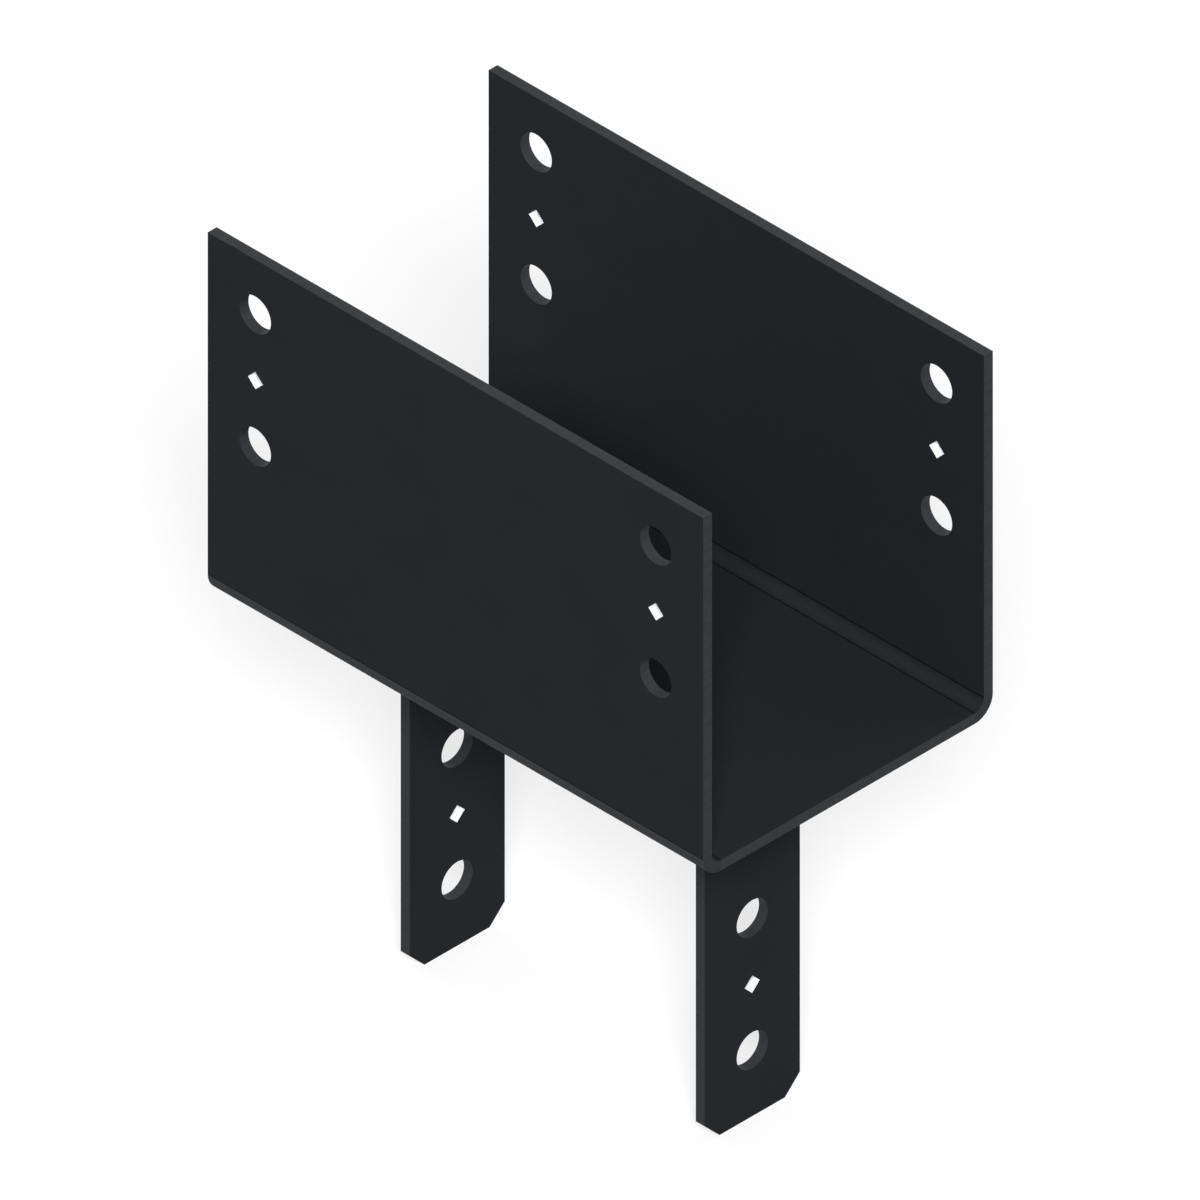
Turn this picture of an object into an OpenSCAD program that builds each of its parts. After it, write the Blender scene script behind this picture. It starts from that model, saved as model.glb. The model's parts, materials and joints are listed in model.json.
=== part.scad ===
// Column cap: a saddle folded from one plate that a timber beam sits in, with two flat straps
// welded under it that reach down both sides of a timber post.
// X runs along the beam, Y across it and Z up. The origin is the middle of the saddle's underside,
// which bears on the top of the post. All sizes are in millimetres.

/* [Beam saddle] */
// Length of the saddle along the beam
saddle_l = 330.2; // [300:0.1:500]
// Clear width between the side plates, which takes the beam
beam_w = 181; // [120:0.1:280]
// Height of the side plates above the seat
side_h = 203.2; // [170:0.1:350]
// Thickness of the plate that the saddle is folded from
plate_t = 6.07; // [3:0.01:10]
// Inside radius of the two folds
fold_r = 6; // [3:0.1:15]

/* [Post straps] */
// Clear gap between the straps, which takes the post
post_w = 190.5; // [120:0.1:250]
// Width of a strap
strap_w = 63.5; // [45:0.1:80]
// Length of a strap below the saddle
strap_l = 215.9; // [180:0.1:350]
// Thickness of a strap
strap_t = 6.07; // [5.5:0.01:10]
// Amount cut off each bottom corner of a strap, at 45 degrees
strap_corner = 10; // [2:0.1:18]

/* [Bolt holes] */
// Diameter of a bolt hole
bolt_hole_d = 20.64; // [12:0.01:25]
// From an end of the saddle to its bolt holes
side_hole_end = 31.75; // [20:0.01:60]
// From the top edge of a side plate down to its upper bolt holes
side_hole_top = 31.75; // [20:0.01:50]
// Between the upper and the lower bolt hole at one end of a side plate
side_hole_pitch = 76.2; // [50:0.01:85]
// From the bottom of a strap up to its lower bolt hole
strap_hole_end = 38.1; // [25:0.01:60]
// Between the two bolt holes of a strap
strap_hole_pitch = 76.2; // [50:0.01:95]

/* [Diamond holes] */
// Side of a small square hole, which stands on its corner midway between two bolt holes
diamond_side = 7.2; // [4:0.1:12]

/* [Welds] */
// Leg of the fillet weld round the outside of a strap's top
weld_leg = 4.76; // [3:0.01:5]
// How far the weld's face swells past a flat one
weld_crown = 0.4; // [0.1:0.1:0.6]
// How far the ends of the weld stop short of the post
weld_post_gap = 0.3; // [0.1:0.1:0.4]

/* [Hidden] */
$fn = 96;
plate_black = "#26272b";
weld_black = "#2b2c30";
cut_over = 1;

saddle_w = beam_w + 2 * plate_t;
saddle_h = side_h + plate_t;
side_hole_x = saddle_l / 2 - side_hole_end;
side_hole_upper_z = saddle_h - side_hole_top;
side_hole_zs = [side_hole_upper_z - side_hole_pitch, side_hole_upper_z];
side_diamond_z = side_hole_upper_z - side_hole_pitch / 2;

strap_in_x = post_w / 2;
strap_out_x = strap_in_x + strap_t;
strap_hole_lower_z = strap_hole_end - strap_l;
strap_hole_zs = [strap_hole_lower_z, strap_hole_lower_z + strap_hole_pitch];
strap_diamond_z = strap_hole_lower_z + strap_hole_pitch / 2;

// The weld's face is an arc through both toes, with this radius for the chosen swell.
weld_half_face = weld_leg / sqrt(2);
weld_face_r = (weld_half_face * weld_half_face + weld_crown * weld_crown) / (2 * weld_crown);
weld_face_centre = weld_leg / 2 - (weld_face_r - weld_crown) / sqrt(2);
weld_return = strap_t - weld_leg - weld_post_gap;

// A filled channel outline, standing on v = 0, with rounded bottom corners.
module channel_outline(w, r, h) {
    translate([-w / 2, r]) square([w, h - r]);
    translate([r - w / 2, 0]) square([w - 2 * r, h]);
    for (side = [-1, 1])
        translate([side * (w / 2 - r), r]) circle(r = r);
}

// The folded plate seen from its end: seat, two folds and two side plates.
module saddle_section() {
    difference() {
        channel_outline(saddle_w, fold_r + plate_t, saddle_h);
        translate([0, plate_t]) channel_outline(beam_w, fold_r, saddle_h);
    }
}

// The bolt holes run straight across both side plates, so that a bolt passes through the beam.
module side_bolt_holes() {
    for (x = [-side_hole_x, side_hole_x], z = side_hole_zs)
        translate([x, 0, z])
            rotate([90, 0, 0])
                cylinder(d = bolt_hole_d, h = saddle_w + 2 * cut_over, center = true);
}

module side_diamond_holes() {
    for (x = [-side_hole_x, side_hole_x])
        translate([x, 0, side_diamond_z])
            rotate([0, 45, 0])
                cube([diamond_side, saddle_w + 2 * cut_over, diamond_side], center = true);
}

module saddle() {
    color(plate_black)
        difference() {
            rotate([90, 0, 90])
                linear_extrude(height = saddle_l, center = true) saddle_section();
            side_bolt_holes();
            side_diamond_holes();
        }
}

// A strap's blank, with its top edge on v = 0 and both bottom corners cut off.
module strap_outline() {
    corner_y = strap_w / 2 - strap_corner;
    corner_z = strap_corner - strap_l;
    polygon([
        [-strap_w / 2, 0], [-strap_w / 2, corner_z], [-corner_y, -strap_l],
        [corner_y, -strap_l], [strap_w / 2, corner_z], [strap_w / 2, 0]
    ]);
}

// The strap on the +X side of the post.
module post_strap() {
    strap_mid_x = (strap_in_x + strap_out_x) / 2;
    color(plate_black)
        difference() {
            translate([strap_in_x, 0, 0])
                rotate([90, 0, 90])
                    linear_extrude(height = strap_t) strap_outline();
            for (z = strap_hole_zs)
                translate([strap_mid_x, 0, z])
                    rotate([0, 90, 0])
                        cylinder(d = bolt_hole_d, h = strap_t + 2 * cut_over, center = true);
            translate([strap_mid_x, 0, strap_diamond_z])
                rotate([45, 0, 0])
                    cube([strap_t + 2 * cut_over, diamond_side, diamond_side], center = true);
        }
}

// The fillet's section: u away from the strap, v down the strap from the saddle's underside.
module weld_section() {
    intersection() {
        translate([0, -weld_leg]) square(weld_leg);
        translate([weld_face_centre, -weld_face_centre]) circle(r = weld_face_r);
    }
}

// A quarter turn of the fillet about a vertical line, as it goes round a corner or tails off.
module weld_corner(start) {
    rotate([0, 0, start])
        rotate_extrude(angle = 90) weld_section();
}

// The fillet runs across the strap's outer face, turns both corners and tails off on the edges,
// so that nothing stands in the way of the post.
module strap_weld() {
    color(weld_black) {
        translate([strap_out_x, strap_w / 2, 0])
            rotate([90, 0, 0])
                linear_extrude(height = strap_w) weld_section();
        for (side = [0, 1])
            mirror([0, side, 0])
                translate([strap_out_x, strap_w / 2, 0]) {
                    weld_corner(0);
                    translate([-weld_return, 0, 0]) {
                        rotate([90, 0, 90])
                            linear_extrude(height = weld_return) weld_section();
                        weld_corner(90);
                    }
                }
    }
}

module front_strap() {
    post_strap();
}

module rear_strap() {
    mirror([1, 0, 0]) post_strap();
}

module front_strap_weld() {
    strap_weld();
}

module rear_strap_weld() {
    mirror([1, 0, 0]) strap_weld();
}

saddle();
front_strap();
rear_strap();
front_strap_weld();
rear_strap_weld();
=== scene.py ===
import json
import math

import bmesh
import bpy
from bpy.props import FloatProperty, FloatVectorProperty, IntProperty, PointerProperty
from mathutils import Matrix, Vector


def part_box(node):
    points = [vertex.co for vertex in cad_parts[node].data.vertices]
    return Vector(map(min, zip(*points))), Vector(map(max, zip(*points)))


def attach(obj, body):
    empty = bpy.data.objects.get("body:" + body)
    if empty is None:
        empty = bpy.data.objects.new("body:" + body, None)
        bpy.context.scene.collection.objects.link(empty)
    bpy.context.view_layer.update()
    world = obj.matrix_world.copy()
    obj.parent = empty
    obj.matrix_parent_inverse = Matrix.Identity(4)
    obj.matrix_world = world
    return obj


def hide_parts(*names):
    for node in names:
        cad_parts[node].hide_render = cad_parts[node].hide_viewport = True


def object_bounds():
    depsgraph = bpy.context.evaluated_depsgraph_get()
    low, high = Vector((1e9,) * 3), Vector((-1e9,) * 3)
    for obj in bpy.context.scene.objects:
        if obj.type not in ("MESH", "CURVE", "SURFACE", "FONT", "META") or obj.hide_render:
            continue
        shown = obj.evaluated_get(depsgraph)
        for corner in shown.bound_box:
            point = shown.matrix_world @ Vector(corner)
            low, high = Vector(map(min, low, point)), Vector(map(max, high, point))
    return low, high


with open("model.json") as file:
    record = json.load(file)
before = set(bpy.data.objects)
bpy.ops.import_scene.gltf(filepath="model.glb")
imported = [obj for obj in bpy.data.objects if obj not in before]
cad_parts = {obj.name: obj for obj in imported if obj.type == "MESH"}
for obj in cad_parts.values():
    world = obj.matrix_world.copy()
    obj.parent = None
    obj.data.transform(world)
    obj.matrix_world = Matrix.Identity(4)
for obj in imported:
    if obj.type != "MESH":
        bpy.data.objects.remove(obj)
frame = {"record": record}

bl_info = {
    "name": "Column cap",
    "version": (1, 0, 0),
    "blender": (4, 5, 0),
    "location": "3D View > Sidebar > Column cap",
    "description": "Models a welded steel column cap and finishes it in black powder coat",
    "category": "Object",
}

MM = 0.001
# Corners that a boolean cut leaves closer together than this are one corner.
SLIVER = 0.002 * MM
QUARTER = math.pi / 2
WHITE = (1.0, 1.0, 1.0, 1.0)
# How far off the camera and the lamps stand, in metres. The view is parallel and the lamps are distant
# ones, so it changes nothing that is seen.
STAND_OFF = 2.0

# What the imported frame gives: the boxes of its nodes and its mounts, in metres.
CAD_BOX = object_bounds()
SADDLE_LOW, SADDLE_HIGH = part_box("saddle")
STRAP_LOW, STRAP_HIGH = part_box("front_strap")
WELD_LOW, WELD_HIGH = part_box("front_strap_weld")
MOUNTS = {mount["name"]: mount for mount in frame["record"]["mounts"]}
SADDLE_L = SADDLE_HIGH.x - SADDLE_LOW.x
BEAM_W = 2 * MOUNTS["beam_side_far"]["pos_m"][1]
PLATE_T = MOUNTS["beam_seat"]["pos_m"][2]
BOLT_HOLE_R = MOUNTS["beam_bolts_near"]["dims"]["hole_r_mm"] * MM
STRAP_T = STRAP_HIGH.x - STRAP_LOW.x
STRAP_W = STRAP_HIGH.y - STRAP_LOW.y
STRAP_L = STRAP_HIGH.z - STRAP_LOW.z
WELD_LEG = WELD_HIGH.z - WELD_LOW.z
FLOOR_Z = CAD_BOX[0].z

# A plate's material slots, in the order in which plate_materials fills them.
COAT, CUT_EDGE, NAIL_HOLE, FOLD_SKIN, FOLD_END = range(5)
CUT_GRAIN_UV = "cut_grain"
# How squarely a face looks out of the plate: a face of a broad side more than the first, and of a hole's
# or an edge's straight wall less than the second. What lies between is the rounding of an edge.
BROAD_SIDE = math.cos(math.radians(45))
STRAIGHT_WALL = math.cos(math.radians(85))
# How squarely a face has to look along an axis to count as one that faces that way.
SQUARE_ON = 0.9
# A cross product of two directions that is shorter than this is only rounding.
NO_DIRECTION = 1e-6


def linear(hex_colour):
    """Turns an sRGB hex colour, such as "#26272b", to linear red, green and blue."""
    channels = [int(hex_colour[i:i + 2], 16) / 255 for i in (1, 3, 5)]
    return [c / 12.92 if c <= 0.04045 else ((c + 0.055) / 1.055) ** 2.4 for c in channels]


class CapSizes(bpy.types.PropertyGroup):
    """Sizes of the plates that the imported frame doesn't state."""
    fold_radius: FloatProperty(
        name="Inside fold radius", description="Inside radius of the saddle's two folds",
        default=6 * MM, unit="LENGTH")
    strap_corner: FloatProperty(
        name="Strap corner", description="Amount cut off each bottom corner of a strap",
        default=10 * MM, unit="LENGTH")
    diamond_side: FloatProperty(
        name="Diamond side", description="Side of the small square nail holes",
        default=7.2 * MM, unit="LENGTH")
    edge_round: FloatProperty(
        name="Edge rounding", description="Radius that the coat leaves on a cut edge",
        default=0.3 * MM, unit="LENGTH")
    die_mark: FloatProperty(
        name="Die mark width", description="Width of the line that the press leaves beside a fold",
        default=1.1 * MM, unit="LENGTH")
    fold_steps: IntProperty(
        name="Fold steps", description="Flats that make up each fold", default=14)
    hole_sides: IntProperty(
        name="Hole sides", description="Flats that make up each bolt hole", default=72)
    edge_steps: IntProperty(
        name="Edge steps", description="Flats that make up the rounding of a cut edge", default=4)


class CapWelds(bpy.types.PropertyGroup):
    """Sizes of the rippled fillet welds."""
    ripple_pitch: FloatProperty(
        name="Ripple pitch", description="Distance from one ripple to the next",
        default=1.9 * MM, unit="LENGTH")
    ripple_length: FloatProperty(
        name="Ripple length", description="Half length of one drop of weld metal along the bead",
        default=2.3 * MM, unit="LENGTH")
    corner_spread: FloatProperty(
        name="Corner spread", description="How far out, as a share of the weld's leg, the ripples of a "
        "corner keep their pitch", default=0.8, subtype="FACTOR")
    crown: FloatProperty(
        name="Crown", description="How far the bead's face swells past a flat one",
        default=0.4 * MM, unit="LENGTH")
    post_gap: FloatProperty(
        name="Gap to the post", description="How far the bead's ends stop short of the post",
        default=0.3 * MM, unit="LENGTH")
    grain: FloatProperty(
        name="Remesh size", description="Size of the cells that melt the drops into one bead",
        default=0.28 * MM, unit="LENGTH")
    sharp_angle: FloatProperty(
        name="Sharp angle", description="Edges that turn more than this are shaded sharp",
        default=math.radians(40), subtype="ANGLE")


class CapFinish(bpy.types.PropertyGroup):
    """Colours of the finishes, kept as linear colours."""
    coat: FloatVectorProperty(
        name="Powder coat", description="Colour of the coat on the broad faces",
        subtype="COLOR", default=linear("#232428"))
    cut_edge: FloatVectorProperty(
        name="Cut edge", description="Colour of the thinner coat on the cut edges",
        subtype="COLOR", default=linear("#343539"))
    # Painted highlight: the coat round the outside of a fold has a lighter colour than the broad faces, a
    # painted reflection of the pale floor.
    fold_skin: FloatVectorProperty(
        name="Fold skin", description="Colour of the coat round the outside of a fold",
        subtype="COLOR", default=linear("#3e3f43"))
    # Painted shade: the cut edge round a fold has a slightly darker colour than the other cut edges,
    # painted shade on the fold's knuckle.
    fold_end: FloatVectorProperty(
        name="Fold end", description="Colour of the cut edge where it goes round a fold",
        subtype="COLOR", default=linear("#303135"))
    zinc: FloatVectorProperty(
        name="Zinc primer", description="Colour of the walls of the nail holes",
        subtype="COLOR", default=linear("#e2e4e6"))
    floor: FloatVectorProperty(
        name="Floor", description="Colour of the studio floor",
        subtype="COLOR", default=linear("#ffffff"))
    floor_bounce: FloatVectorProperty(
        name="Floor bounce", description="Colour of the light that the floor throws back on the cap",
        subtype="COLOR", default=linear("#68686b"))


class CapStudio(bpy.types.PropertyGroup):
    """Camera, lamps and floor."""
    azimuth: FloatProperty(
        name="Azimuth", description="Turn of the camera round the cap",
        default=math.radians(45), subtype="ANGLE")
    elevation: FloatProperty(
        name="Elevation", description="Height of the camera above the horizon, for a true isometric view",
        default=math.atan(math.sqrt(0.5)), subtype="ANGLE")
    frame_width: FloatProperty(
        name="Frame width", description="Width that the parallel view takes in",
        default=565.2 * MM, unit="LENGTH")
    aim_height: FloatProperty(
        name="Aim height", description="Height of the middle of the picture above the post's top",
        default=31.3 * MM, unit="LENGTH")
    aim_side: FloatProperty(
        name="Aim offset", description="How far the middle of the picture lies right of the post's axis",
        default=-0.14 * MM, unit="LENGTH")
    sky: FloatProperty(
        name="Sky", description="Strength of the even light from all round", default=0.22)
    key: FloatProperty(
        name="Key lamp", description="Light of the key lamp on a surface that faces it, where 1 lights a "
        "white surface fully", default=1.18)
    key_azimuth: FloatProperty(
        name="Key azimuth", description="Turn of the key lamp round the cap",
        default=math.radians(46), subtype="ANGLE")
    key_elevation: FloatProperty(
        name="Key elevation", description="Height of the key lamp above the horizon",
        default=math.radians(37), subtype="ANGLE")
    key_softness: FloatProperty(
        name="Key softness", description="Width of the key lamp seen from the cap",
        default=math.radians(15), subtype="ANGLE")
    fill: FloatProperty(
        name="Fill lamps", description="Light of each of the two fill lamps, which light the far sides",
        default=0.6)
    rear_fill_azimuth: FloatProperty(
        name="Rear fill azimuth", description="Turn of the lamp that lights the cap's rear",
        default=math.radians(178), subtype="ANGLE")
    left_fill_azimuth: FloatProperty(
        name="Left fill azimuth", description="Turn of the lamp that lights the cap's left end",
        default=math.radians(270), subtype="ANGLE")
    fill_elevation: FloatProperty(
        name="Fill elevation", description="Height of the fill lamps above the horizon",
        default=math.radians(8), subtype="ANGLE")
    fill_softness: FloatProperty(
        name="Fill softness", description="Width of a fill lamp seen from the cap",
        default=math.radians(60), subtype="ANGLE")
    floor_glow: FloatProperty(
        name="Floor glow", description="Share of plain white in the floor that the camera sees, which "
        "makes the cap's shadow paler", default=0.62, subtype="FACTOR")
    floor_size: FloatProperty(
        name="Floor size", description="Side of the studio floor", default=12, unit="LENGTH")


def live_socket(sockets, name):
    """The socket of that name or number; of several with one name, the one that is in use."""
    if isinstance(name, int):
        return sockets[name]
    return next(socket for socket in sockets if socket.name == name and socket.enabled)


def add_node(tree, kind, inputs=None, give=0, **settings):
    """Adds a node, links a socket or sets a value on each input and gives back one of its outputs."""
    node = tree.nodes.new(kind)
    for name, value in settings.items():
        setattr(node, name, value)
    for name, value in (inputs or {}).items():
        socket = live_socket(node.inputs, name)
        if isinstance(value, bpy.types.NodeSocket):
            tree.links.new(value, socket)
        else:
            socket.default_value = value
    return live_socket(node.outputs, give) if node.outputs else None


def new_material(name):
    """An empty node material and its tree."""
    material = bpy.data.materials.new(name)
    material.use_nodes = True
    material.node_tree.nodes.clear()
    return material, material.node_tree


def opaque(colour):
    """The same colour with the fourth number that a socket wants."""
    return [*colour, 1.0]


def shaded(colour, factor):
    """The same colour, made lighter or darker by this factor."""
    return [c * factor for c in colour]


def cloudy_colour(tree, place, colour, spread, patch):
    """A colour that drifts a share of itself lighter and darker, over patches of that size in metres."""
    cloud = add_node(tree, "ShaderNodeTexNoise",
                     {"Vector": place, "Scale": 1 / patch, "Detail": 3.0, "Roughness": 0.55})
    return add_node(tree, "ShaderNodeMix", {
        "Factor": cloud,
        "A": opaque(shaded(colour, 1 - spread)),
        "B": opaque(shaded(colour, 1 + spread))}, give="Result", data_type="RGBA")


def near_fold_line(tree, place, width):
    """1 along the lines where each fold begins and ends, inside and out, and 0 beyond their width."""
    fold_radius = bpy.context.scene.cap_sizes.fold_radius
    across = add_node(tree, "ShaderNodeSeparateXYZ", {"Vector": place}, give="Y")
    across = add_node(tree, "ShaderNodeMath", {0: across}, operation="ABSOLUTE")
    height = add_node(tree, "ShaderNodeSeparateXYZ", {"Vector": place}, give="Z")
    from_seat_line = add_node(tree, "ShaderNodeMath", {0: across, 1: BEAM_W / 2 - fold_radius},
                              operation="SUBTRACT")
    from_side_line = add_node(tree, "ShaderNodeMath", {0: height, 1: PLATE_T + fold_radius},
                              operation="SUBTRACT")
    away = [add_node(tree, "ShaderNodeMath", {0: gap}, operation="ABSOLUTE")
            for gap in (from_seat_line, from_side_line)]
    nearest = add_node(tree, "ShaderNodeMath", {0: away[0], 1: away[1]}, operation="MINIMUM")
    return add_node(tree, "ShaderNodeMapRange", {
        "Value": nearest, "From Min": 0.2 * width, "From Max": 0.6 * width, "To Min": 1.0, "To Max": 0.0},
        interpolation_type="SMOOTHSTEP")


# Polyester powder coat, sprayed dry and baked. It gives a deep black with a soft sheen, a fine orange peel
# about 1.4 mm from dimple to dimple, and a sheen that drifts slowly where the film is thicker. The lines
# that the press's die leaves along each fold show through it.
def powder_coat(name, colour):
    material, tree = new_material(name)
    place = add_node(tree, "ShaderNodeTexCoord", give="Object")
    die_mark = near_fold_line(tree, place, bpy.context.scene.cap_sizes.die_mark)
    tone = add_node(tree, "ShaderNodeMapRange", {"Value": die_mark, "To Min": 1.0, "To Max": 0.35})
    colour = add_node(tree, "ShaderNodeMix", {
        "Factor": 1.0, "A": cloudy_colour(tree, place, colour, spread=0.07, patch=45 * MM), "B": tone},
        give="Result", data_type="RGBA", blend_type="MULTIPLY")
    film = add_node(tree, "ShaderNodeTexNoise", {"Vector": place, "Scale": 1 / (28 * MM), "Detail": 2.0})
    roughness = add_node(tree, "ShaderNodeMapRange", {
        "Value": film, "From Min": 0.3, "From Max": 0.7, "To Min": 0.55, "To Max": 0.64})
    peel = add_node(tree, "ShaderNodeTexNoise", {"Vector": place, "Scale": 1 / (1.4 * MM), "Detail": 1.0})
    bump = add_node(tree, "ShaderNodeBump", {"Height": peel, "Distance": 0.15 * MM, "Strength": 0.9})
    bump = add_node(tree, "ShaderNodeBump", {
        "Height": die_mark, "Distance": 0.06 * MM, "Strength": 1.0, "Normal": bump}, invert=True)
    coat = add_node(tree, "ShaderNodeBsdfPrincipled", {
        "Base Color": colour, "Roughness": roughness, "Normal": bump, "IOR": 1.15,
        "Specular IOR Level": 0.2})
    add_node(tree, "ShaderNodeOutputMaterial", {"Surface": coat})
    return material


# Laser-cut edge under the same powder, which draws back from a sharp edge and leaves a thin, greyer film.
# It gives a graphite band with the cut's fine drag lines across it. They are about 0.5 mm apart on the
# real edge and are drawn 1 mm apart, so that they show.
def coated_cut_edge(name, colour):
    material, tree = new_material(name)
    place = add_node(tree, "ShaderNodeTexCoord", give="Object")
    along = add_node(tree, "ShaderNodeUVMap", uv_map=CUT_GRAIN_UV)
    stretched = add_node(tree, "ShaderNodeMapping", {"Vector": along, "Scale": (1.0, 0.08, 1.0)})
    drag = add_node(tree, "ShaderNodeTexNoise",
                    {"Vector": stretched, "Scale": 1 / (1 * MM), "Detail": 1.0})
    streak = add_node(tree, "ShaderNodeMapRange", {
        "Value": drag, "From Min": 0.3, "From Max": 0.7, "To Min": 0.88, "To Max": 1.1})
    colour = add_node(tree, "ShaderNodeMix", {
        "Factor": 1.0, "A": cloudy_colour(tree, place, colour, spread=0.06, patch=20 * MM), "B": streak},
        give="Result", data_type="RGBA", blend_type="MULTIPLY")
    bump = add_node(tree, "ShaderNodeBump", {"Height": drag, "Distance": 0.05 * MM, "Strength": 0.6})
    coat = add_node(tree, "ShaderNodeBsdfPrincipled", {
        "Base Color": colour, "Normal": bump, "Roughness": 0.5, "IOR": 1.2, "Specular IOR Level": 0.2})
    add_node(tree, "ShaderNodeOutputMaterial", {"Surface": coat})
    return material


# Zinc-rich primer, left bare in the nail holes, where the powder doesn't reach. It gives a pale dry grey.
def bare_zinc_primer(name, colour):
    material, tree = new_material(name)
    place = add_node(tree, "ShaderNodeTexCoord", give="Object")
    colour = cloudy_colour(tree, place, colour, spread=0.06, patch=1.5 * MM)
    primer = add_node(tree, "ShaderNodeBsdfPrincipled",
                      {"Base Color": colour, "Roughness": 0.65, "IOR": 1.5})
    add_node(tree, "ShaderNodeOutputMaterial", {"Surface": primer})
    return material


def plate_materials():
    """The finishes of a plate in the order of its slots, made once and shared."""
    finish = bpy.context.scene.cap_finish
    kinds = (
        ("black_powder_coat_satin", powder_coat, finish.coat),
        ("cut_edge_thin_powder_coat", coated_cut_edge, finish.cut_edge),
        ("zinc_primer_bare", bare_zinc_primer, finish.zinc),
        # The lighter fold colour in the next line is a painted reflection. It is the same powder coat as
        # the broad faces.
        ("fold_skin_powder_coat", powder_coat, finish.fold_skin),
        # The darker fold-end colour in the next line is painted shade on the same edge finish as the other
        # cut edges.
        ("fold_end_powder_coat", coated_cut_edge, finish.fold_end),
    )
    return [bpy.data.materials.get(name) or make(name, colour) for name, make, colour in kinds]


# The plates' powder coat over a rippled weld, where it is a little greyer and glossier.
def coated_weld(finish):
    material, tree = new_material("weld_bead_powder_coat")
    place = add_node(tree, "ShaderNodeTexCoord", give="Object")
    colour = cloudy_colour(tree, place, shaded(finish.coat, factor=1.15), spread=0.1, patch=6 * MM)
    skin = add_node(tree, "ShaderNodeTexNoise", {"Vector": place, "Scale": 1 / (0.7 * MM), "Detail": 2.0})
    bump = add_node(tree, "ShaderNodeBump", {"Height": skin, "Distance": 0.05 * MM, "Strength": 0.6})
    coat = add_node(tree, "ShaderNodeBsdfPrincipled", {
        "Base Color": colour, "Normal": bump, "Roughness": 0.45, "IOR": 1.25, "Specular IOR Level": 0.2})
    add_node(tree, "ShaderNodeOutputMaterial", {"Surface": coat})
    return material


def seen_directly(tree):
    """1 where the camera looks, be it directly, in a mirror or through glass, and 0 for other light."""
    seen = add_node(tree, "ShaderNodeLightPath", give="Is Camera Ray")
    for ray in ("Is Glossy Ray", "Is Transmission Ray"):
        other = add_node(tree, "ShaderNodeLightPath", give=ray)
        seen = add_node(tree, "ShaderNodeMath", {0: seen, 1: other}, operation="MAXIMUM")
    return seen


# Matt white studio card, which looks lit from below as well, so that the shadow on it stays pale. It throws
# back less light than white would, as a small sheet does.
def studio_card(finish, glow):
    material, tree = new_material("studio_card_matt_white")
    place = add_node(tree, "ShaderNodeTexCoord", give="Object")
    shaded_white = add_node(tree, "ShaderNodeBsdfDiffuse",
                            {"Color": cloudy_colour(tree, place, finish.floor, spread=0.004, patch=0.4)})
    plain_white = add_node(tree, "ShaderNodeEmission", {"Color": WHITE, "Strength": 1.0})
    white = add_node(tree, "ShaderNodeMixShader", {0: glow, 1: shaded_white, 2: plain_white})
    bounce = add_node(tree, "ShaderNodeBsdfDiffuse", {"Color": opaque(finish.floor_bounce)})
    card = add_node(tree, "ShaderNodeMixShader", {0: seen_directly(tree), 1: bounce, 2: white})
    add_node(tree, "ShaderNodeOutputMaterial", {"Surface": card})
    return material


def deselect_everything():
    """Leaves edit mode and clears the selection, which would otherwise join in the next operator."""
    if bpy.context.mode != "OBJECT":
        bpy.ops.object.mode_set(mode="OBJECT")
    bpy.ops.object.select_all(action="DESELECT")


def take_up(piece):
    """Makes one object the selected and active one."""
    deselect_everything()
    piece.select_set(True)
    bpy.context.view_layer.objects.active = piece


def block(name, centre, size):
    """A box to model from, with its place and size in its mesh."""
    deselect_everything()
    bpy.ops.mesh.primitive_cube_add(size=1, location=centre, scale=size)
    piece = bpy.context.active_object
    piece.name = piece.data.name = name
    bpy.ops.object.transform_apply(location=True, rotation=True, scale=True)
    return piece


def drill(centre, radius, length, along, sides):
    """A round or many-sided cutter whose axis lies along X or Y, with two of its corners upright."""
    deselect_everything()
    turn = (0, QUARTER, 0) if along == "X" else (QUARTER, 0, 0)
    bpy.ops.mesh.primitive_cylinder_add(
        vertices=sides, radius=radius, depth=length, location=centre, rotation=turn)
    bpy.ops.object.transform_apply(location=True, rotation=True, scale=True)
    return bpy.context.active_object


def merge(pieces):
    """Joins objects to one and returns it."""
    deselect_everything()
    for piece in pieces:
        piece.select_set(True)
    bpy.context.view_layer.objects.active = pieces[0]
    bpy.ops.object.join()
    return bpy.context.active_object


def apply_modifier(piece, kind, **settings):
    """Adds a modifier with these settings and applies it at once."""
    take_up(piece)
    modifier = piece.modifiers.new(kind.lower(), kind)
    for name, value in settings.items():
        setattr(modifier, name, value)
    bpy.ops.object.modifier_apply(modifier=modifier.name)


def close_slivers(piece):
    """Merges the corners that a cut leaves too close together to be a real edge."""
    take_up(piece)
    bpy.ops.object.mode_set(mode="EDIT")
    bpy.ops.mesh.select_all(action="SELECT")
    bpy.ops.mesh.remove_doubles(threshold=SLIVER)
    bpy.ops.mesh.dissolve_degenerate(threshold=SLIVER)
    bpy.ops.object.mode_set(mode="OBJECT")


def cut_away(piece, cutters):
    """Cuts the joined cutters out of a piece and deletes them."""
    cutter = merge(cutters)
    apply_modifier(piece, "BOOLEAN", operation="DIFFERENCE", solver="EXACT", object=cutter)
    bpy.data.objects.remove(cutter)


def select_faces(piece, wanted):
    """Selects the faces whose centre and normal pass the test, in edit mode."""
    shape = bmesh.from_edit_mesh(piece.data)
    for face in shape.faces:
        face.select_set(wanted(face.calc_center_median(), face.normal))
    shape.select_flush_mode()
    bmesh.update_edit_mesh(piece.data)
    if not any(face.select for face in shape.faces):
        raise RuntimeError(f"no face of {piece.name} is where the next step needs it")


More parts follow.
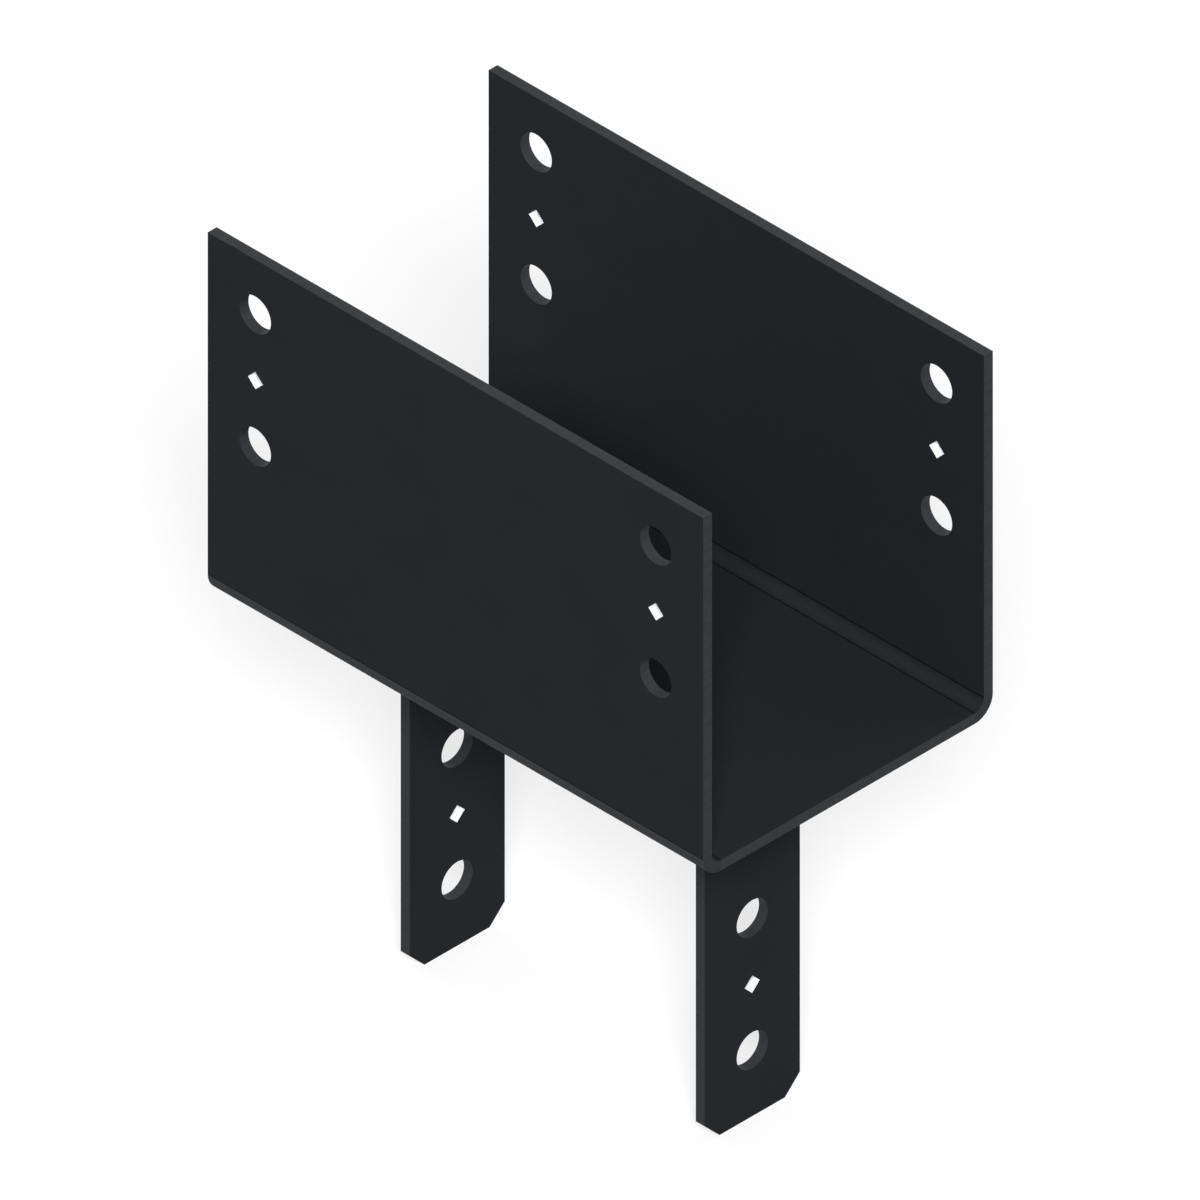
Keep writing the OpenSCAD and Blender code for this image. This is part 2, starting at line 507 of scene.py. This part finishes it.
def select_edges(piece, wanted):
    """Selects the edges whose two ends pass the test, in edit mode."""
    shape = bmesh.from_edit_mesh(piece.data)
    for edge in shape.edges:
        edge.select_set(all(wanted(vert.co) for vert in edge.verts))
    bmesh.update_edit_mesh(piece.data)
    if not any(edge.select for edge in shape.edges):
        raise RuntimeError(f"no edge of {piece.name} is where the next step needs it")


def hole_pattern(mount_name):
    """The middle of a mount's bolt holes, and half their distance along the plate and upwards."""
    mount = MOUNTS[mount_name]
    spacing = mount["dims"]
    half_row = spacing.get("spacing_x_mm", 0) * MM / 2
    return Vector(mount["pos_m"]), half_row, spacing["spacing_y_mm"] * MM / 2


def bolt_and_nail_cutters(mount_name, length, along, sizes):
    """Cutters for a mount's bolt holes and for the diamond hole midway between each pair."""
    centre, half_row, half_pitch = hole_pattern(mount_name)
    # A cutter runs through the plates on both sides, so its middle lies midway between them.
    centre[0 if along == "X" else 1] = 0
    diamond_r = sizes.diamond_side / math.sqrt(2)
    cutters = []
    for shift in sorted({-half_row, half_row}):
        for rise in (-half_pitch, half_pitch):
            place = centre + Vector((shift, 0, rise))
            cutters.append(drill(place, BOLT_HOLE_R, length, along, sizes.hole_sides))
        cutters.append(drill(centre + Vector((shift, 0, 0)), diamond_r, length, along, 4))
    return cutters


def in_nail_hole(point, along, mount_name, reach):
    """Whether a point lies in or on a diamond hole of the mount's pattern."""
    middle, half_row, _ = hole_pattern(mount_name)
    sideways = abs(abs(point.x) - half_row) if along == "Y" else abs(point.y - middle.y)
    return sideways < reach and abs(point.z - middle.z) < reach


def lay_cut_grain(piece, through_plate):
    """Gives the cut faces a UV map in metres: along the edge, and through the plate's thickness."""
    mesh = piece.data
    grain = mesh.uv_layers.new(name=CUT_GRAIN_UV)
    for face in mesh.polygons:
        across = through_plate(face.center)
        along = across.cross(face.normal)
        # A face of a broad side has no such direction, and its coat doesn't read this map.
        if along.length > NO_DIRECTION:
            along.normalize()
        for corner in face.loop_indices:
            point = mesh.vertices[mesh.loops[corner].vertex_index].co
            grain.data[corner].uv = (point.dot(along), point.dot(across))


def finish_plate(piece, through_plate, slot_of):
    """Rounds a plate's edges as the coat does, evens its shading and sorts its faces by finish."""
    sizes = bpy.context.scene.cap_sizes
    apply_modifier(piece, "BEVEL", width=sizes.edge_round, segments=sizes.edge_steps,
                   limit_method="ANGLE", angle_limit=math.radians(30))
    close_slivers(piece)
    bpy.ops.object.shade_smooth()
    # Flat faces keep their own shading next to the narrow roundings.
    apply_modifier(piece, "WEIGHTED_NORMAL", mode="FACE_AREA", weight=80)
    for material in plate_materials():
        piece.data.materials.append(material)
    for face in piece.data.polygons:
        face.material_index = slot_of(face.center, face.normal)
    lay_cut_grain(piece, through_plate)


def hand_over(piece, node):
    """Puts the finished piece on the cap's one body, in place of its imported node."""
    if piece.matrix_world != Matrix.Identity(4):
        raise RuntimeError(f"{piece.name} has to sit at the origin, unturned and unscaled")
    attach(piece, "root")
    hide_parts(node)


def copy_to_rear(piece, name):
    """A copy of a front piece with its own mesh, turned half round the post's axis."""
    twin = piece.copy()
    twin.data = piece.data.copy()
    twin.name = twin.data.name = name
    bpy.context.collection.objects.link(twin)
    take_up(twin)
    twin.rotation_euler.z = math.pi
    bpy.ops.object.transform_apply(location=True, rotation=True, scale=True)
    return twin


class CAP_OT_saddle(bpy.types.Operator):
    """Fold the saddle from its seat outwards, pierce it and finish it"""
    bl_idname = "column_cap.saddle"
    bl_label = "Saddle"
    bl_options = {"REGISTER", "UNDO"}

    def execute(self, context):
        sizes = context.scene.cap_sizes
        half_flat = BEAM_W / 2 - sizes.fold_radius
        fold_z = PLATE_T + sizes.fold_radius
        saddle = block("saddle_plate", (0, 0, PLATE_T / 2), (SADDLE_L, 2 * half_flat, PLATE_T))
        self.fold_up(saddle, half_flat, fold_z, sizes.fold_steps)
        cut_length = SADDLE_HIGH.y - SADDLE_LOW.y + PLATE_T
        cut_away(saddle, bolt_and_nail_cutters("beam_bolts_near", cut_length, "Y", sizes))

        def in_fold(point):
            return abs(point.y) > half_flat and point.z < fold_z

        def through_plate(point):
            if in_fold(point):
                axis = Vector((point.x, math.copysign(half_flat, point.y), fold_z))
                return (point - axis).normalized()
            return Vector((0, 1, 0)) if point.z > fold_z else Vector((0, 0, 1))

        def slot_of(point, normal):
            facing = normal.dot(through_plate(point))
            if abs(facing) > BROAD_SIDE:
                # The outside of a fold takes the coat with the painted reflection in its colour.
                return FOLD_SKIN if in_fold(point) and facing > 0 else COAT
            if in_nail_hole(point, "Y", "beam_bolts_near", sizes.diamond_side):
                return NAIL_HOLE if abs(facing) < STRAIGHT_WALL else COAT
            # A cut edge round a fold takes the edge finish with painted shade in its colour.
            return FOLD_END if in_fold(point) else CUT_EDGE

        finish_plate(saddle, through_plate, slot_of)
        hand_over(saddle, "saddle")
        return {"FINISHED"}

    def fold_up(self, saddle, half_flat, fold_z, steps):
        """Spins each long edge of the seat round its fold and draws it up to the side plate's top."""
        take_up(saddle)
        bpy.ops.object.mode_set(mode="EDIT")
        bpy.ops.mesh.select_mode(type="FACE")
        rise = SADDLE_HIGH.z - fold_z
        for side in (-1, 1):
            select_faces(saddle, lambda centre, normal: normal.y * side > SQUARE_ON and centre.z < PLATE_T)
            bpy.ops.mesh.spin(steps=steps, angle=-side * QUARTER, axis=(1, 0, 0),
                              center=(0, side * half_flat, fold_z))
            select_faces(saddle, lambda centre, normal: normal.z > SQUARE_ON
                         and centre.y * side > half_flat and abs(centre.z - fold_z) < PLATE_T / 4)
            bpy.ops.mesh.extrude_region_move(TRANSFORM_OT_translate={"value": (0, 0, rise)})
        bpy.ops.object.mode_set(mode="OBJECT")


class CAP_OT_straps(bpy.types.Operator):
    """Cut and pierce a post strap, finish it and copy it to the other side of the post"""
    bl_idname = "column_cap.straps"
    bl_label = "Post straps"
    bl_options = {"REGISTER", "UNDO"}

    def execute(self, context):
        sizes = context.scene.cap_sizes
        centre = (STRAP_LOW + STRAP_HIGH) / 2
        front = block("front_strap_plate", centre, (STRAP_T, STRAP_W, STRAP_L))
        take_up(front)
        bpy.ops.object.mode_set(mode="EDIT")
        bpy.ops.mesh.select_mode(type="EDGE")
        for side in (-1, 1):
            select_edges(front, lambda point: point.y * side > 0 and point.z < centre.z)
            bpy.ops.mesh.bevel(offset=sizes.strap_corner, segments=1, affect="EDGES")
        bpy.ops.object.mode_set(mode="OBJECT")
        reach = 2 * (STRAP_HIGH.x + STRAP_T)
        cut_away(front, bolt_and_nail_cutters("post_bolts_front", reach, "X", sizes))
        rear = copy_to_rear(front, "rear_strap_plate")

        def through_plate(point):
            return Vector((1, 0, 0))

        def slot_of(point, normal):
            if abs(normal.x) > BROAD_SIDE:
                return COAT
            if in_nail_hole(point, "X", "post_bolts_front", sizes.diamond_side):
                return NAIL_HOLE if abs(normal.x) < STRAIGHT_WALL else COAT
            return CUT_EDGE

        for strap, node in ((front, "front_strap"), (rear, "rear_strap")):
            finish_plate(strap, through_plate, slot_of)
            hand_over(strap, node)
        return {"FINISHED"}


class CAP_OT_welds(bpy.types.Operator):
    """Lay the rippled fillet weld round the top of a strap and copy it to the other strap"""
    bl_idname = "column_cap.welds"
    bl_label = "Strap welds"
    bl_options = {"REGISTER", "UNDO"}

    def execute(self, context):
        welds = context.scene.cap_welds
        front = merge(self.drops(welds))
        front.name = front.data.name = "front_weld_bead"
        apply_modifier(front, "REMESH", mode="VOXEL", voxel_size=welds.grain)
        apply_modifier(front, "SMOOTH", factor=0.5, iterations=2)
        self.trim(front)
        close_slivers(front)
        # Splits the many-sided flats that trimming leaves into well-shaped triangles, and nothing else.
        apply_modifier(front, "TRIANGULATE", ngon_method="BEAUTY", min_vertices=5)
        front.data.materials.clear()
        front.data.materials.append(coated_weld(context.scene.cap_finish))
        rear = copy_to_rear(front, "rear_weld_bead")
        for bead, node in ((front, "front_strap_weld"), (rear, "rear_strap_weld")):
            take_up(bead)
            bpy.ops.object.shade_smooth_by_angle(angle=welds.sharp_angle)
            hand_over(bead, node)
        return {"FINISHED"}

    def feet(self, welds):
        """Places along the strap's top edge, each with the direction that points out from the strap.

        They run from the tail on one edge round both corners to the tail on the other edge.
        """
        tail = STRAP_T - welds.post_gap - welds.ripple_length
        arc = QUARTER * WELD_LEG * welds.corner_spread
        total = 2 * (tail + arc) + STRAP_W
        count = round(total / welds.ripple_pitch)
        places = []
        for i in range(count + 1):
            run = total * i / count
            side = -1 if run < total / 2 else 1
            from_end = total / 2 - abs(run - total / 2)
            corner = Vector((STRAP_HIGH.x, side * STRAP_W / 2, 0))
            if from_end < tail:
                places.append((corner - Vector((tail - from_end, 0, 0)), Vector((0, side, 0))))
            elif from_end < tail + arc:
                turn = QUARTER * (1 - (from_end - tail) / arc)
                places.append((corner, Vector((math.cos(turn), side * math.sin(turn), 0))))
            else:
                along_strap = side * (total / 2 - from_end)
                places.append((Vector((STRAP_HIGH.x, along_strap, 0)), Vector((1, 0, 0))))
        return places

    def first_drop(self, welds):
        """A squashed ball of weld metal, with X along the bead, Y out of the strap and Z up.

        Its middle lies midway from the root to a flat face, and it is wide enough to reach both toes.
        """
        half_face = WELD_LEG / math.sqrt(2)
        rise = half_face / 2 + welds.crown
        width = half_face / math.sqrt(1 - (half_face / 2 / rise) ** 2)
        face_out = Vector((0, 1, -1)).normalized()
        axes = Matrix(((1, 0, 0), Vector((0, 1, 1)).normalized(), -face_out)).transposed().to_4x4()
        size = Matrix.Diagonal((welds.ripple_length, width, rise, 1))
        deselect_everything()
        bpy.ops.mesh.primitive_uv_sphere_add(segments=32, ring_count=20, radius=1)
        drop = bpy.context.active_object
        drop.data.transform(Matrix.Translation(face_out * half_face / 2) @ axes @ size)
        # What reaches more than a cell into the strap goes, or it would come out of the strap's next face.
        bpy.ops.object.mode_set(mode="EDIT")
        bpy.ops.mesh.select_all(action="SELECT")
        bpy.ops.mesh.bisect(plane_co=(0, -welds.grain, 0), plane_no=(0, 1, 0), use_fill=True,
                            clear_inner=True)
        bpy.ops.object.mode_set(mode="OBJECT")
        return drop

    def drops(self, welds):
        """The first drop copied along the bead, so that the drops overlap as ripples."""
        first = self.first_drop(welds)
        up = Vector((0, 0, 1))
        drops = []
        for foot, out in self.feet(welds):
            drop = first.copy()
            drop.data = first.data.copy()
            bpy.context.collection.objects.link(drop)
            turn = Matrix((out.cross(up), out, up)).transposed().to_4x4()
            drop.data.transform(Matrix.Translation(foot) @ turn)
            drops.append(drop)
        bpy.data.objects.remove(first)
        return drops

    def trim(self, bead):
        """Cuts the bead back to the strap's faces and to the saddle's underside."""
        spare = 4 * WELD_LEG
        strap = block("strap_cutter", (STRAP_HIGH.x - spare, 0, 0), (2 * spare, STRAP_W, 2 * spare))
        above = block("seat_cutter", (STRAP_HIGH.x, 0, spare), (3 * spare, STRAP_W + 2 * spare, 2 * spare))
        apply_modifier(bead, "BOOLEAN", operation="DIFFERENCE", solver="EXACT", object=strap)
        apply_modifier(bead, "BOOLEAN", operation="DIFFERENCE", solver="EXACT", object=above)
        for cutter in (strap, above):
            bpy.data.objects.remove(cutter)


def towards(azimuth, elevation):
    """The direction from the cap to a camera or lamp that stands at these angles."""
    return Vector((math.sin(azimuth) * math.cos(elevation), -math.cos(azimuth) * math.cos(elevation),
                   math.sin(elevation)))


class CAP_OT_studio(bpy.types.Operator):
    """Set the floor, the lamps, the sky and the isometric camera"""
    bl_idname = "column_cap.studio"
    bl_label = "Studio"
    bl_options = {"REGISTER", "UNDO"}

    def execute(self, context):
        studio = context.scene.cap_studio
        self.lay_floor(context, studio)
        self.light_sky(context, studio)
        self.hang_lamp("key_lamp", towards(studio.key_azimuth, studio.key_elevation),
                       studio.key, studio.key_softness)
        self.hang_lamp("rear_fill_lamp", towards(studio.rear_fill_azimuth, studio.fill_elevation),
                       studio.fill, studio.fill_softness)
        self.hang_lamp("left_fill_lamp", towards(studio.left_fill_azimuth, studio.fill_elevation),
                       studio.fill, studio.fill_softness)
        self.set_camera(context, studio)
        context.scene.view_settings.view_transform = "Standard"
        return {"FINISHED"}

    def lay_floor(self, context, studio):
        deselect_everything()
        bpy.ops.mesh.primitive_plane_add(size=studio.floor_size, location=(0, 0, FLOOR_Z))
        floor = context.active_object
        floor.name = floor.data.name = "studio_floor"
        bpy.ops.object.transform_apply(location=True, rotation=True, scale=True)
        floor.data.materials.append(studio_card(context.scene.cap_finish, studio.floor_glow))

    def light_sky(self, context, studio):
        """An even sky, dim in the light that it gives, which camera and reflections see as plain white."""
        world = bpy.data.worlds.new("studio_sky")
        world.use_nodes = True
        tree = world.node_tree
        tree.nodes.clear()
        lit = add_node(tree, "ShaderNodeBackground", {"Color": WHITE, "Strength": studio.sky})
        white = add_node(tree, "ShaderNodeBackground", {"Color": WHITE, "Strength": 1.0})
        sky = add_node(tree, "ShaderNodeMixShader", {0: seen_directly(tree), 1: lit, 2: white})
        add_node(tree, "ShaderNodeOutputWorld", {"Surface": sky})
        context.scene.world = world

    def hang_lamp(self, name, back, light, softness):
        """A distant and so even lamp, as soft as it is wide."""
        deselect_everything()
        bpy.ops.object.light_add(type="SUN", location=STAND_OFF * back,
                                 rotation=back.to_track_quat("Z", "Y").to_euler())
        lamp = bpy.context.active_object
        lamp.name = lamp.data.name = name
        lamp.data.energy = math.pi * light
        lamp.data.angle = softness

    def set_camera(self, context, studio):
        back = towards(studio.azimuth, studio.elevation)
        right = Vector((math.cos(studio.azimuth), math.sin(studio.azimuth), 0))
        aim = studio.aim_side * right + Vector((0, 0, studio.aim_height))
        deselect_everything()
        bpy.ops.object.camera_add(location=aim + STAND_OFF * back,
                                  rotation=back.to_track_quat("Z", "Y").to_euler())
        camera = context.active_object
        camera.name = camera.data.name = "isometric_camera"
        camera.data.type = "ORTHO"
        camera.data.ortho_scale = studio.frame_width
        context.scene.camera = camera


class CAP_PT_panel(bpy.types.Panel):
    """Lists the cap's steps and settings in the 3D view's sidebar"""
    bl_idname = "CAP_PT_panel"
    bl_label = "Column cap"
    bl_space_type = "VIEW_3D"
    bl_region_type = "UI"
    bl_category = "Column cap"

    def draw(self, context):
        for step in STEPS:
            self.layout.operator(step.bl_idname)
        for group in GROUPS:
            settings = getattr(context.scene, group)
            box = self.layout.box()
            for name in type(settings).__annotations__:
                box.prop(settings, name)


GROUPS = {"cap_sizes": CapSizes, "cap_welds": CapWelds, "cap_finish": CapFinish, "cap_studio": CapStudio}
STEPS = (CAP_OT_studio, CAP_OT_saddle, CAP_OT_straps, CAP_OT_welds)
CLASSES = (*GROUPS.values(), *STEPS, CAP_PT_panel)


def register():
    for cls in CLASSES:
        bpy.utils.register_class(cls)
    for name, group in GROUPS.items():
        setattr(bpy.types.Scene, name, PointerProperty(type=group))


def unregister():
    for name in GROUPS:
        delattr(bpy.types.Scene, name)
    for cls in reversed(CLASSES):
        bpy.utils.unregister_class(cls)


def main():
    register()
    bpy.ops.column_cap.studio()
    bpy.ops.column_cap.saddle()
    bpy.ops.column_cap.straps()
    bpy.ops.column_cap.welds()


if __name__ == "__main__":
    main()
